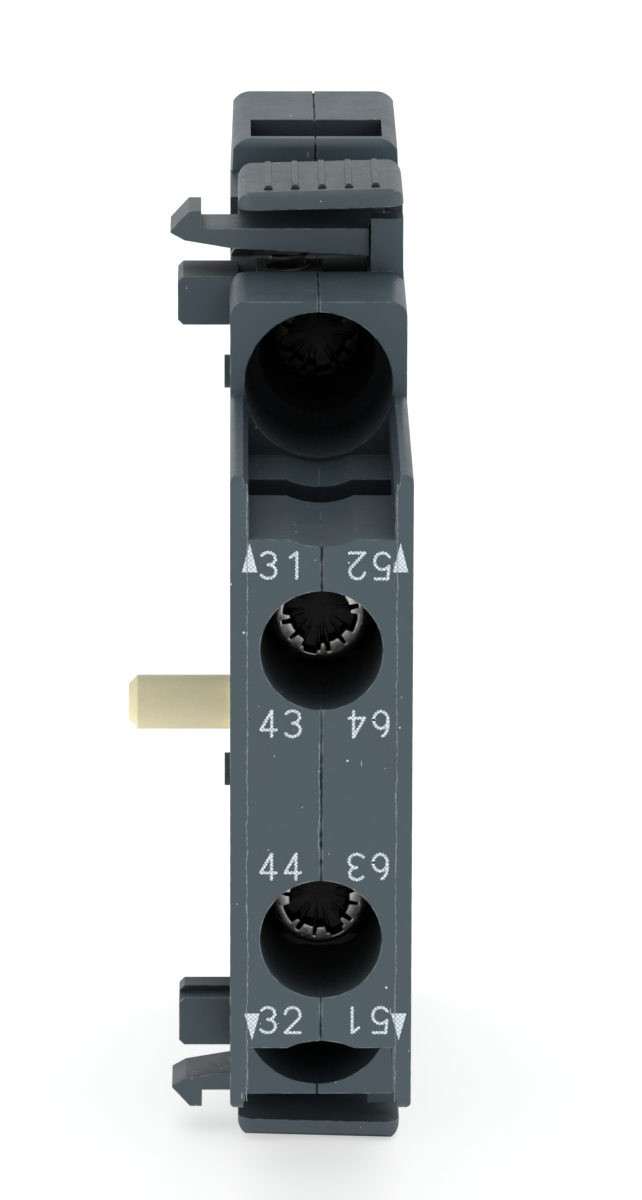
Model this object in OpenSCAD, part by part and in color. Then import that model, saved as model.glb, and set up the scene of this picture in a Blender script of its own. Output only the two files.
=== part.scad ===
// Auxiliary contact block that snaps onto the side of a contactor.
// One opening and one closing contact, four screw terminals, a spring-loaded actuator
// and two sprung latches. Depth is counted from the numbered front face, heights from
// the middle, and every node is then moved so that the actuator pin's axis is the origin.

/* [Housing] */
// Width of the block, from the mating side to the far side
body_w = 10; // [9.6:0.1:11]
// Thickness of the two side walls
side_wall = 1.0; // [0.8:0.05:1.1]
// Height of the numbered front face
front_h = 29; // [28.4:0.1:29.6]
// Height over the side cheeks that flank the wire channels
cheek_h = 36.1; // [35:0.1:36.6]
// Radius at the cheeks' outer corners
cheek_r = 0.4; // [0.2:0.05:0.6]
// Depth at which the step with the outer driver holes begins
step_depth = 19.2; // [18:0.1:20.4]
// Wall above the outer driver holes, up to the top of the step
hole_wall = 0.6; // [0.5:0.05:1.2]
// Depth at which the rear block begins
rear_depth = 42; // [41.6:0.1:43]
// Rise of the rear block above the step
rear_rise = 4.6; // [4:0.1:5.4]
// Thickness of the rear wall
rear_wall = 1.6; // [1.2:0.05:1.8]
// Radius of the rounded outer edges
edge_r = 0.9; // [0.5:0.05:1.1]
// Radius of the rear block's upper edges
rear_r = 1.2; // [0.8:0.05:1.4]
// Inset of the rear block's sides at its top
rear_draft = 0.2; // [0.1:0.05:0.35]
// Depth of the groove where the two halves meet
seam_groove = 0.1; // [0.05:0.01:0.15]
// Width of the groove where the two halves meet
seam_w = 0.12; // [0.06:0.01:0.2]
// Radius of the dowels that line the halves up
dowel_r = 0.8; // [0.6:0.05:0.85]
// Length of a dowel past the seam
dowel_len = 2.4; // [1.6:0.1:2.8]
// Distance of the rear dowels from the rear face
rear_dowel_inset = 5; // [4.4:0.1:5.6]

/* [Terminals] */
// Height of the inner terminals' screw axes
inner_z = 8.23; // [8.1:0.01:8.4]
// Height of the outer terminals' screw axes
outer_z = 18.6; // [18.4:0.05:18.7]
// Diameter of the inner driver holes
inner_hole_d = 6.72; // [6.4:0.02:6.8]
// Diameter of the outer driver holes
outer_hole_d = 8.4; // [7.8:0.05:8.6]
// Depth of the inner screws' heads, with the terminals open
inner_head_depth = 7.8; // [7.4:0.05:8.2]
// Depth of the outer screws' heads, with the terminals open
outer_head_depth = 31; // [30.6:0.05:31.4]
// Diameter of a screw head
screw_head_d = 5.46; // [5:0.02:5.8]
// Height of a screw head
screw_head_h = 2.2; // [1.8:0.05:2.4]
// Diameter of the screw shank
screw_d = 2.9; // [2.4:0.05:3.2]
// Length of the screw shank
screw_len = 5.4; // [5.2:0.1:5.8]
// Thickness of a clamping washer
washer_t = 1.0; // [0.8:0.05:1.2]
// Height of a clamping washer
washer_h = 5.4; // [5:0.05:5.6]
// Room for the wire between washer and terminal strip, with the terminal open
wire_gap = 2.6; // [2.2:0.05:2.8]
// Room that is left for the wire when the screw is down
wire_left = 0.1; // [0.05:0.05:0.4]
// Depth of the driver trough below the channel floor
trough_depth = 0.42; // [0.3:0.02:0.6]
// Radius of the driver trough
trough_r = 4.3; // [3.8:0.02:4.6]

/* [Contacts] */
// Thickness of the terminal strips
plate_t = 0.8; // [0.6:0.05:0.9]
// Thickness of the moving bridges
bridge_t = 0.6; // [0.4:0.05:0.8]
// Width of the moving bridges
bridge_w = 4.6; // [4:0.1:5]
// Height of the contact points above the middle
contact_z = 6.0; // [5.8:0.05:6.2]
// Diameter of the contact tips
tip_d = 2.2; // [1.8:0.05:2.4]
// Height of the contact tips
tip_t = 0.7; // [0.5:0.05:0.8]
// Diameter of the contact tips' rivet shanks
rivet_d = 1.2; // [1:0.05:1.4]

/* [Actuator] */
// Depth of the pin's axis behind the front face, at rest
pin_depth = 19.4; // [19:0.05:19.8]
// Diameter of the pin
pin_d = 3.1; // [2.8:0.05:3.2]
// Side of the pin's square neck, which runs in the slot of the mating side
neck_w = 3.4; // [3.2:0.05:3.6]
// Reach of the pin past the mating side
pin_reach = 5.78; // [5:0.05:6.5]
// Chamfer at the pin's end
pin_chamfer = 0.5; // [0.2:0.05:0.7]
// Travel of the actuator into the depth
travel = 4; // [3.4:0.1:4.4]
// Part of the travel in which the contact springs give way
overtravel = 1; // [0.8:0.1:1.4]
// Height of the slider
slider_h = 8; // [7.4:0.1:8.2]
// Thickness of the slider's front bar in front of the pin
slider_nose = 0.9; // [0.6:0.05:1.2]
// Thickness of the bar behind the pin
pin_bar = 1.25; // [1:0.05:1.5]
// Thickness of the slider's rear bar
rear_bar = 1.5; // [1.2:0.05:1.8]
// Width of the slider's side rails
rail_w = 1.2; // [1:0.05:1.25]
// Gap between the slider and the walls that guide it
slide_gap = 0.1; // [0.05:0.01:0.15]

/* [Springs] */
// Length of a contact spring at rest
contact_spring_len = 5.2; // [4.8:0.05:5.4]
// Outer diameter of a contact spring
contact_spring_d = 3.6; // [3:0.1:4]
// Wire of a contact spring
contact_wire = 0.36; // [0.25:0.01:0.4]
// Length of the return spring at rest
return_spring_len = 8.6; // [7.6:0.1:10]
// Outer diameter of the return spring
return_spring_d = 5; // [4.4:0.1:5.6]
// Wire of the return spring
return_wire = 0.5; // [0.4:0.01:0.55]
// Outer diameter of a latch spring
latch_spring_d = 2.4; // [2:0.1:2.8]
// Wire of a latch spring
latch_wire = 0.26; // [0.2:0.01:0.3]

/* [Latches] */
// Depth of the hook's front face
hook_depth = 27.4; // [27.3:0.05:27.8]
// Thickness of the hook, into the depth
hook_t = 3.9; // [3.6:0.05:4.1]
// Reach of the hook past the mating side
hook_reach = 3.42; // [3:0.02:3.8]
// Width of the flat crest of the barb
barb_flat = 0.7; // [0.5:0.05:0.9]
// Slope of the barb, measured along the reach
barb_slope = 1.05; // [0.8:0.05:1.2]
// Height of the barb above the arm
barb_h = 1.0; // [0.8:0.05:1.2]
// Height of the arm's outer face above the step
arm_rise = 2.44; // [2.3:0.02:2.6]
// Thickness of the arm at its pivot end
arm_t = 1.6; // [1.45:0.05:1.7]
// Taper of the arm over its length
arm_taper = 0.9; // [0.5:0.05:1]
// Reach of the grip in front of the hook
grip_lead = 1.4; // [1:0.05:1.6]
// Length of the grip into the depth
grip_len = 8.5; // [8:0.05:8.6]
// Thickness of the grip
grip_t = 1.0; // [0.8:0.05:1.05]
// Height of the grip's inner face above the step, at the mating side
grip_rise = 3.75; // [3.7:0.01:3.9]
// Tilt of the grip across its width, in degrees
grip_tilt = 1.6; // [1:0.1:2.5]
// Height of a grip rib
rib_h = 0.2; // [0.1:0.02:0.25]
// Width of a grip rib
rib_w = 0.5; // [0.4:0.02:0.6]
// Pitch of the grip ribs
rib_pitch = 1.53; // [1.4:0.01:1.6]
// Radius of the latch pivots
pivot_r = 0.6; // [0.5:0.02:0.64]
// Gap between a latch pivot and its bearing
pivot_gap = 0.05; // [0.03:0.01:0.08]
// Distance of the pivot axis from the far side
pivot_x = 1.1; // [1.05:0.01:1.2]
// Height of the pivot axis above the step
pivot_rise = 1.1; // [1.05:0.01:1.2]
// Radius of the barrel round the pivot
barrel_r = 1.0; // [0.95:0.01:1.04]

/* [Mating side] */
// Reach of the guide pegs past the mating side
peg_reach = 3; // [2.6:0.05:3.2]
// Height of a guide peg
peg_h = 2.85; // [2.7:0.05:3]
// Drop of a peg's outer face below the step
peg_drop = 0.35; // [0.2:0.05:0.5]
// Depth of a peg's front face
peg_depth = 27.4; // [27:0.05:27.8]
// Thickness of a peg, into the depth
peg_t = 4.2; // [3.8:0.05:4.4]
// Chamfer at a peg's outer edges
peg_chamfer = 0.3; // [0.2:0.05:0.5]
// Height of the studs above the middle
stud_z = 12.4; // [12:0.1:13]
// Diameter of the studs
stud_d = 2; // [1.6:0.05:2.4]
// Reach of the studs past the mating side
stud_reach = 0.36; // [0.2:0.02:0.5]
// Distance of the studs from the rear face
stud_inset = 7.5; // [6.6:0.1:8.2]

/* [Hidden] */
$fn = 48;

housing_color = "#4b565c";
ivory_color = "#d6cfb0";
steel_color = "#b9bcc0";
brass_color = "#c9a85a";
silver_color = "#d8d8da";
spring_color = "#9a9ea3";

// Cutters reach this far past the faces they open
past = 1;
// Seats that meet at rest stay this far apart
seat_gap = 0.02;
// Fit between loose flat pieces
loose = 0.1;

mid = body_w / 2;
front_top = front_h / 2;
cheek_top = cheek_h / 2;
step_top = outer_z + outer_hole_d / 2 + hole_wall;
rear_top = step_top + rear_rise;

// Terminals: each stack runs head, washer, wire, strip
head_r = screw_head_d / 2;
inner_washer_depth = inner_head_depth + screw_head_h;
outer_washer_depth = outer_head_depth + screw_head_h;
inner_plate_depth = inner_washer_depth + washer_t + wire_gap;
outer_plate_depth = outer_washer_depth + washer_t + wire_gap;
clamp_travel = wire_gap - wire_left;
chamber_in = side_wall + 0.3;
chamber_w = body_w - 2 * chamber_in;
washer_w = chamber_w - 0.6;
washer_hole_r = screw_d / 2 + 0.08;
plate_hole_r = screw_d / 2 + 0.06;
tip_room = screw_d / 2 + 0.25;
clamp_h = washer_h + 0.2;
chamber_h = clamp_h + 1;
outer_bore_r = inner_hole_d / 2;
strip_w = bridge_w + 0.4;

// Contact stack of the opening contact, from front to rear
nc_fixed_face = outer_plate_depth + plate_t;
nc_meeting = nc_fixed_face + tip_t;
nc_bridge_depth = nc_meeting + tip_t;
nc_window_front = nc_bridge_depth - overtravel - seat_gap;
nc_window_rear = nc_bridge_depth + bridge_t + contact_spring_len;

// Contact stack of the closing contact, from front to rear
contact_gap = travel - overtravel;
no_window_front = pin_depth + pin_d / 2 + pin_bar;
no_bridge_depth = no_window_front + contact_spring_len;
no_window_rear = no_bridge_depth + bridge_t + seat_gap;
no_tip_end = no_bridge_depth + bridge_t + tip_t;
no_meeting = no_tip_end + contact_gap + seat_gap;
no_plate_depth = no_meeting + tip_t;

// Slider and the cavity that it runs in
slider_front = pin_depth - pin_d / 2 - slider_nose;
slider_rear = nc_window_rear + rear_bar;
slider_in = side_wall + slide_gap;
slider_w = body_w - 2 * slider_in;
cavity_front = slider_front - seat_gap;
cavity_rear = slider_rear + return_spring_len;
body_d = cavity_rear + rear_wall;
slot_half = neck_w / 2 + slide_gap;
run_z = inner_z + clamp_h / 2;
cavity_top = run_z + 0.15;
bridge_half = contact_z + tip_d / 2 + 0.2;
inner_end = contact_z - tip_d / 2 - 0.1;
guide_z = slider_h / 2 + slide_gap;
guide_t = 0.7;
post_r = contact_spring_d / 2 - contact_wire - 0.1;
post_len = 1;
return_post_r = return_spring_d / 2 - return_wire - 0.15;

// Latch bay between the step and the rear block
arm_top = step_top + arm_rise;
grip_depth = hook_depth - grip_lead;
grip_z = step_top + grip_rise;
pivot_z = step_top + pivot_rise;
peg_top = step_top - peg_drop;
bay_depth = hook_depth - 0.4;
bay_floor = outer_z + outer_bore_r + 0.8;
bay_rear = grip_depth + grip_len - 0.3;
outer_bore_end = bay_depth - 0.5;
pivot_at = body_w - pivot_x;
arm_end = pivot_at - barrel_r;
front_bearing_t = 1.6;
bearing_in = 0.1;
bearing_x = arm_end + 0.15;
bearing_skin = 0.3;
bearing_top = pivot_z + 2;
bay_open = bearing_top + past;
barrel_depth = bay_depth + front_bearing_t + loose;
barrel_end = bay_rear - loose;
rear_bearing_t = 1.2;
pivot_out = 1.2;
side_guard_top = step_top + 2.6;
guard_depth = bay_rear + rear_bearing_t;
web_depth = hook_depth + hook_t + 1.2;
grip_in = 0.45;
grip_out = 0.1;
grip_r = grip_t * 0.75;
grip_corner = 1.0;
grip_w = body_w - grip_in - grip_out;
grip_edge_r = 0.4;
rib_front = 1.2;
rib_pocket = 0.4;
spring_x = mid - 1.6;
spring_depth = hook_depth + hook_t / 2 + 0.3;
spring_seat = bay_floor - 0.4;
spring_top = arm_top - 0.9;
spring_hole_r = latch_spring_d / 2 + 0.15;
spring_cup = spring_hole_r + 0.55;

// Recess in the outer faces of the rear block
recess_depth = rear_depth + 1;
recess_len = 4.9;
recess_deep = 3.2;
recess_in = 1.2;
rear_edge_r = 0.5;

funnel = 1.4;

// Dowels: depth and height of each, on the seam
dowels = [
  [inner_head_depth * 0.6, 0],
  [step_depth + 4.8, (cavity_top + outer_z - outer_hole_d / 2) / 2],
  [step_depth + 4.8, -(cavity_top + outer_z - outer_hole_d / 2) / 2],
  [body_d - rear_dowel_inset, outer_z - 1],
  [body_d - rear_dowel_inset, 1 - outer_z],
];
dowel_gap = 0.05;
dowel_boss_r = dowel_r + 1;

// Moves a piece from front-face depths to the origin on the pin's axis
module at_pin() {
  translate([0, -pin_depth, 0])
    children();
}

// Repeats a piece above and below the middle
module both_ends() {
  children();
  mirror([0, 0, 1])
    children();
}

// Box from one corner to the other
module block(low, high) {
  translate(low)
    cube(high - low);
}

// Round bar along the depth
module bar(x, z, depth, length, r) {
  translate([x, depth, z])
    rotate([-90, 0, 0])
      cylinder(r = r, h = length);
}

// Shape drawn in width and height, pushed into the depth
module push_depth(depth, length) {
  translate([0, depth + length, 0])
    rotate([90, 0, 0])
      linear_extrude(length)
        children();
}

// Shape drawn in depth and height, pushed across the width
module push_width(x, length) {
  translate([x, 0, 0])
    rotate([90, 0, 90])
      linear_extrude(length)
        children();
}

// Cutter that rounds a front upper edge which runs across the width
module edge_round(x0, x1, depth, z, r) {
  difference() {
    block([x0, depth - past, z - r], [x1, depth + r, z + past]);
    translate([x0 - past, depth + r, z - r])
      rotate([0, 90, 0])
        cylinder(r = r, h = x1 - x0 + 2 * past);
  }
}

// Rectangle with its two top corners rounded, drawn in width and height
module round_top(x0, x1, z0, z1, r) {
  translate([x0, z0])
    square([x1 - x0, z1 - z0 - r]);
  translate([x0 + r, z1 - r - past / 10])
    square([x1 - x0 - 2 * r, r + past / 10]);
  for (x = [x0 + r, x1 - r])
    translate([x, z1 - r])
      circle(r);
}

// Rectangle with four rounded corners
module round_rect(x0, x1, z0, z1, r) {
  translate([x0, z0 + r])
    square([x1 - x0, z1 - z0 - 2 * r]);
  translate([x0 + r, z0])
    square([x1 - x0 - 2 * r, z1 - z0]);
  for (x = [x0 + r, x1 - r], z = [z0 + r, z1 - r])
    translate([x, z])
      circle(r);
}

// Compression spring of round wire, standing on the plane z = 0
function spring_point(a, k, r, wire, pitch, sides) =
  let (b = 360 * k / sides, d = r + wire / 2 * cos(b))
    [d * cos(a), d * sin(a), wire / 2 * (1 + sin(b)) + pitch * a / 360];

module coil_spring(length, d, wire, turns) {
  sides = 6;
  steps = 12;
  n = turns * steps;
  r = (d - wire) / 2;
  pitch = (length - wire) / turns;
  points = [
    for (i = [0:n], k = [0:sides - 1]) spring_point(360 * i / steps, k, r, wire, pitch, sides)
  ];
  walls = [
    for (i = [0:n - 1], k = [0:sides - 1])
      let (m = (k + 1) % sides, a = i * sides, b = a + sides) [a + k, a + m, b + m, b + k]
  ];
  first = [for (k = [0:sides - 1]) sides - 1 - k];
  last = [for (k = [0:sides - 1]) n * sides + k];
  polyhedron(points, concat(walls, [first, last]));
}

// Spring along the depth
module depth_spring(depth, length, d, wire, turns) {
  translate([mid, depth, 0])
    rotate([-90, 0, 0])
      coil_spring(length, d, wire, turns);
}

// Outer form of the housing, solid
module housing_block() {
  both_ends() {
    block([0, 0, -past], [body_w, step_depth + past, front_top]);
    cheeks();
    push_depth(step_depth, rear_depth - step_depth + past)
      round_top(0, body_w, -past, step_top, edge_r);
    push_depth(rear_depth, body_d - rear_depth)
      rear_outline();
    latch_bearings();
    wire_guards();
  }
}

// Rear block in width and height, a little narrower at its top
module rear_outline() {
  intersection() {
    round_top(0, body_w, -past, rear_top, rear_r);
    polygon([
      [0, -past], [0, step_top], [rear_draft, rear_top], [body_w - rear_draft, rear_top],
      [body_w, step_top], [body_w, -past],
    ]);
  }
}

// Side cheeks that flank the wire channel
module cheeks() {
  intersection() {
    for (x = [0, body_w - side_wall])
      push_width(x, side_wall)
        cheek_outline();
    push_depth(-past, step_depth + 3 * past)
      round_top(0, body_w, -past, cheek_top, cheek_r);
  }
}

module cheek_outline() {
  translate([0, -past])
    square([step_depth + past, cheek_top - cheek_r + past]);
  translate([cheek_r, 0])
    square([step_depth + past - cheek_r, cheek_top]);
  translate([cheek_r, cheek_top - cheek_r])
    circle(cheek_r);
}

// Bearing blocks in which a latch pivot turns
module latch_bearings() {
  block([bearing_x, bay_depth, bay_floor - past],
    [body_w - bearing_in, bay_depth + front_bearing_t, bearing_top]);
  block([bearing_x, bay_rear, bay_floor - past],
    [body_w, bay_rear + rear_bearing_t, bearing_top]);
}

// Low walls beside the outer wire entries
module wire_guards() {
  for (x = [0, body_w - side_wall])
    block([x, guard_depth - past / 10, bay_floor - past],
      [x + side_wall, rear_depth + past, side_guard_top]);
}

// Everything that is hollow in both halves
module housing_hollows() {
  both_ends() {
    inner_terminal_room();
    outer_terminal_room();
    latch_bay();
    rear_recess();
    rear_core();
    edge_round(-past, body_w + past, rear_depth, rear_top, rear_edge_r);
  }
  mechanism_room();
}

// Driver hole, clamp chamber, wire slot and screw room of an inner terminal
module inner_terminal_room() {
  chamber_depth = inner_head_depth + 1.5;
  bar(mid, inner_z, -past, chamber_depth + 2 * past, inner_hole_d / 2);
  block([chamber_in, chamber_depth, inner_z - chamber_h / 2],
    [body_w - chamber_in, inner_plate_depth + plate_t, inner_z + chamber_h / 2]);
  block([side_wall, inner_washer_depth - loose, inner_z],
    [body_w - side_wall, inner_plate_depth, front_top + past]);
  bar(mid, inner_z, inner_plate_depth, cavity_front - inner_plate_depth + past, tip_room);
  block([mid - strip_w / 2, inner_plate_depth, run_z - plate_t - loose / 2],
    [mid + strip_w / 2, cavity_front + past, run_z + loose / 2]);
}

// Driver hole, clamp chamber, wire entry and screw room of an outer terminal
module outer_terminal_room() {
  chamber_depth = outer_head_depth + 1.5;
  screw_end = outer_washer_depth + screw_len + clamp_travel + loose;
  bar(mid, outer_z, step_depth - past, outer_bore_end - step_depth + past, outer_hole_d / 2);
  bar(mid, outer_z, outer_bore_end - past, chamber_depth - outer_bore_end + 2 * past, outer_bore_r);
  block([chamber_in, chamber_depth, outer_z - chamber_h / 2],
    [body_w - chamber_in, outer_plate_depth + plate_t, outer_z + chamber_h / 2]);
  push_width(chamber_in, chamber_w)
    polygon([
      [outer_washer_depth + washer_t, outer_z],
      [outer_plate_depth, outer_z],
      [outer_plate_depth, outer_z + chamber_h / 2],
      [outer_plate_depth + funnel, step_top],
      [outer_plate_depth + funnel, step_top + past],
      [outer_washer_depth + washer_t, step_top + past],
    ]);
  bar(mid, outer_z, outer_plate_depth, screw_end - outer_plate_depth, tip_room);
  block([mid - strip_w / 2 - loose / 2, outer_plate_depth, cavity_top - past],
    [mid + strip_w / 2 + loose / 2, outer_plate_depth + plate_t, outer_z]);
  trough_z = front_top - trough_depth + trough_r;
  bar(mid, trough_z, -past, step_depth + past, trough_r);
}

// Bay in which a latch swings
module latch_bay() {
  bearings_end = bay_rear + rear_bearing_t;
  difference() {
    block([-past, bay_depth, bay_floor], [arm_end, bay_rear, bay_open]);
    block([spring_x - spring_cup, spring_depth - spring_cup, bay_floor - past],
      [spring_x + spring_cup, spring_depth + spring_cup, bay_floor + 0.4]);
  }
  translate([spring_x, spring_depth, spring_seat])
    cylinder(r = spring_hole_r, h = past);
  block([arm_end - past, bay_depth + front_bearing_t, pivot_z - barrel_r - loose * 3],
    [body_w + past, bay_rear, bay_open]);
  blind_end = bay_depth + bearing_skin;
  bar(pivot_at, pivot_z, blind_end, bearings_end - blind_end + past / 5, pivot_r + pivot_gap);
}

// Recess in the outer face of the rear block
module rear_recess() {
  block([recess_in, recess_depth, rear_top - recess_deep],
    [body_w - recess_in + 0.15, recess_depth + recess_len, rear_top + past]);
}

// Cored-out room in the rear block, round a dowel boss
module rear_core() {
  difference() {
    block([side_wall, rear_depth + 1.2, cavity_top + 1.5],
      [body_w - side_wall, cavity_rear, rear_top - recess_deep - 2.2]);
    translate([0, body_d - rear_dowel_inset, outer_z - 1])
      rotate([0, 90, 0])
        cylinder(r = dowel_boss_r, h = body_w);
  }
}

// Room of the slider and the bridges, with ribs that guide the slider and a post for the spring
module mechanism_room() {
  difference() {
    block([side_wall, cavity_front, -cavity_top], [body_w - side_wall, cavity_rear, cavity_top]);
    both_ends()
      for (x = [side_wall - past, body_w - side_wall - guide_t])
        block([x, cavity_front - past, guide_z],
          [x + guide_t + past, slider_rear + travel, guide_z + guide_t]);
    bar(mid, 0, cavity_rear - post_len, post_len + past, return_post_r);
  }
  pin_slot();
}

// Slot in the mating side for the pin's neck
module pin_slot() {
  block([-past, pin_depth - slot_half, -slot_half],
    [side_wall + past, pin_depth + travel + slot_half, slot_half]);
}

// Housing profile in depth and height, drawn smaller by the groove
module seam_profile(k) {
  points = [
    [k, front_top - k], [step_depth + k, front_top - k], [step_depth + k, step_top - k],
    [rear_depth + k, step_top - k], [rear_depth + k, rear_top - k], [body_d - k, rear_top - k],
  ];
  lower = [for (i = [len(points) - 1:-1:0]) [points[i][0], -points[i][1]]];
  polygon(concat(points, lower));
}

// Shallow groove round the outside where the halves meet
module seam_groove_ring() {
  difference() {
    push_width(mid - seam_w / 2, seam_w)
      translate([-past, -rear_top - past])
        square([body_d + 2 * past, 2 * rear_top + 2 * past]);
    push_width(mid - seam_w, 2 * seam_w)
      seam_profile(seam_groove);
  }
}

module housing() {
  difference() {
    housing_block();
    housing_hollows();
    seam_groove_ring();
  }
}

// Guide peg on the mating side, with its groove
module guide_peg() {
  c = peg_chamfer;
  groove = 0.4;
  difference() {
    push_depth(peg_depth, peg_t)
      polygon([
        [past / 2, peg_top - peg_h], [past / 2, peg_top], [c - peg_reach, peg_top],
        [-peg_reach, peg_top - c], [-peg_reach, peg_top - peg_h + c], [c - peg_reach, peg_top - peg_h],
      ]);
    block([-peg_reach - past, peg_depth + 0.2, peg_top - peg_h - past],
      [0, peg_depth + 2.5, peg_top - peg_h + groove]);
  }
}

module left_shell() {
  color(housing_color)
    at_pin() {
      intersection() {
        housing();
        block([-past, -past, -rear_top - past], [mid, body_d + past, rear_top + past]);
      }
      both_ends() {
        guide_peg();
        translate([-stud_reach, body_d - stud_inset, stud_z])
          rotate([0, 90, 0])
            cylinder(d = stud_d, h = stud_reach + side_wall / 2);
      }
      for (p = dowels)
        translate([mid - past, p[0], p[1]])
          rotate([0, 90, 0])
            cylinder(r = dowel_r, h = past + dowel_len);
    }
}

module right_shell() {
  color(housing_color)
    at_pin()
      difference() {
        intersection() {
          housing();
          block([mid, -past, -rear_top - past], [body_w + past, body_d + past, rear_top + past]);
        }
        for (p = dowels)
          translate([mid - past, p[0], p[1]])
            rotate([0, 90, 0])
              cylinder(r = dowel_r + dowel_gap, h = past + dowel_len + loose);
      }
}

// Outline of the latch arm and its barb, in width and height
module arm_outline() {
  low = arm_top - arm_t;
  tip = -hook_reach;
  crest = tip + barb_slope;
  barb_top = arm_top + barb_h;
  polygon([
    [arm_end + barrel_r * 0.5, low], [0, low + arm_taper / 2], [tip + 0.8, low + arm_taper],
    [tip, low + arm_taper + 0.45], [tip, arm_top - 0.15], [crest, barb_top],
    [crest + barb_flat, barb_top], [crest + barb_flat, arm_top], [arm_end + barrel_r * 0.5, arm_top],
  ]);
}

// Ribbed plate that the thumb presses
module grip() {
  translate([grip_in, 0, grip_z])
    rotate([0, -grip_tilt, 0]) {
      difference() {
        intersection() {
          push_depth(grip_depth, grip_len)
            round_top(0, grip_w, 0, grip_t, grip_r);
          linear_extrude(grip_t + past)
            round_rect(0, grip_w, grip_depth, grip_depth + grip_len, grip_corner);
        }
        edge_round(-past, grip_w + past, grip_depth, grip_t, grip_edge_r);
        for (i = [-2:2])
          translate([grip_w / 2 + 0.1 + i * rib_pitch, grip_depth + rib_front, 0])
            block([-rib_w / 2, -rib_pocket, grip_t - rib_pocket], [rib_w / 2, past / 2, grip_t + past]);
      }
      for (i = [-2:2])
        translate([grip_w / 2 + 0.1 + i * rib_pitch, 0, 0])
          grip_rib();
    }
}

// One rib with sloped flanks
module grip_rib() {
  w = rib_w / 2;
  push_depth(grip_depth + rib_front, grip_len - rib_front - 0.6)
    polygon([[-w, grip_t - rib_h], [w, grip_t - rib_h], [w, grip_t], [w * 0.5, grip_t + rib_h],
      [-w * 0.5, grip_t + rib_h], [-w, grip_t]]);
}

module latch() {
  low = arm_top - arm_t;
  web_top = grip_z + grip_t / 2;
  pivot_start = bay_depth + bearing_skin + loose;
  difference() {
    push_depth(hook_depth, hook_t)
      intersection() {
        arm_outline();
        translate([-hook_reach - past, low - past])
          square([hook_reach + past + arm_end + loose / 2, 3 * arm_t + past]);
      }
    translate([spring_x, spring_depth, spring_top - 2 * past])
      cylinder(r = spring_hole_r, h = 2 * past);
  }
  block([grip_in, hook_depth + hook_t - past, low + arm_taper / 2],
    [arm_end + past / 2, barrel_end, arm_top]);
  push_depth(web_depth, barrel_end - web_depth)
    polygon([[grip_in, arm_top - past / 2], [arm_end + barrel_r, arm_top - past / 2],
      [arm_end + barrel_r, web_top], [grip_in, web_top]]);
  bar(pivot_at, pivot_z, barrel_depth, barrel_end - barrel_depth, barrel_r);
  bar(pivot_at, pivot_z, pivot_start, bay_rear + pivot_out - loose - pivot_start, pivot_r);
  block([arm_end - past / 2, barrel_depth, pivot_z - barrel_r * 0.45], [pivot_at, barrel_end, arm_top]);
  grip();
}

module upper_latch() {
  color(housing_color)
    at_pin()
      latch();
}

module lower_latch() {
  color(housing_color)
    at_pin()
      mirror([0, 0, 1])
        latch();
}

// Short spring between its cup in the bay floor and the arm
module latch_spring() {
  translate([spring_x, spring_depth, spring_seat + seat_gap])
    coil_spring(spring_top - spring_seat - 2 * seat_gap, latch_spring_d, latch_wire, 3);
}

module upper_latch_spring() {
  color(spring_color)
    at_pin()
      latch_spring();
}

module lower_latch_spring() {
  color(spring_color)
    at_pin()
      mirror([0, 0, 1])
        latch_spring();
}

// Slider with two windows, seats for the springs and the round pin
module actuator() {
  half = slider_h / 2;
  color(ivory_color)
    at_pin() {
      difference() {
        block([slider_in, slider_front, -half], [body_w - slider_in, slider_rear, half]);
        slider_window(no_window_front, no_window_rear);
        slider_window(nc_window_front, nc_window_rear);
        translate([slider_in + 2, pin_depth, 0])
          rotate([0, 90, 0])
            cylinder(r = pin_d / 2 - 0.6, h = slider_w);
      }
      bar(mid, 0, no_window_front - past / 2, post_len + past / 2, post_r);
      bar(mid, 0, nc_window_rear - post_len, post_len + past / 2, post_r);
      bar(mid, 0, slider_rear - past / 2, post_len + past / 2, return_post_r);
      block([0, pin_depth - neck_w / 2, -neck_w / 2],
        [slider_in + past / 2, pin_depth + neck_w / 2, neck_w / 2]);
      translate([-pin_reach, pin_depth, 0])
        rotate([0, 90, 0])
          pin();
    }
}

// Round pin with a chamfered end
module pin() {
  pin_end = pin_reach + past / 2;
  rotate_extrude()
    polygon([
      [0, 0], [pin_d / 2 - pin_chamfer, 0], [pin_d / 2, pin_chamfer], [pin_d / 2, pin_end], [0, pin_end],
    ]);
}

module slider_window(front, rear) {
  block([slider_in + rail_w, front, -slider_h], [body_w - slider_in - rail_w, rear, slider_h]);
}

module return_spring() {
  color(spring_color)
    at_pin()
      depth_spring(slider_rear + seat_gap, return_spring_len - 2 * seat_gap,
        return_spring_d, return_wire, 6);
}

module no_contact_spring() {
  color(spring_color)
    at_pin()
      depth_spring(no_window_front + seat_gap, contact_spring_len - 2 * seat_gap,
        contact_spring_d, contact_wire, 5);
}

module nc_contact_spring() {
  color(spring_color)
    at_pin()
      depth_spring(nc_bridge_depth + bridge_t + seat_gap, contact_spring_len - 2 * seat_gap,
        contact_spring_d, contact_wire, 5);
}

// Moving strip with round ends and holes for its two rivets
module bridge(depth) {
  push_depth(depth, bridge_t)
    difference() {
      union() {
        translate([mid - bridge_w / 2, -bridge_half + past])
          square([bridge_w, 2 * bridge_half - 2 * past]);
        translate([mid - bridge_w / 2 + past, -bridge_half])
          square([bridge_w - 2 * past, 2 * bridge_half]);
        for (x = [-1, 1], z = [-1, 1])
          translate([mid + x * (bridge_w / 2 - past), z * (bridge_half - past)])
            circle(past);
      }
      for (z = [-1, 1])
        translate([mid, z * contact_z])
          circle(d = rivet_d);
    }
}

module no_bridge() {
  color(brass_color)
    at_pin()
      bridge(no_bridge_depth);
}

module nc_bridge() {
  color(brass_color)
    at_pin()
      bridge(nc_bridge_depth);
}

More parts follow.
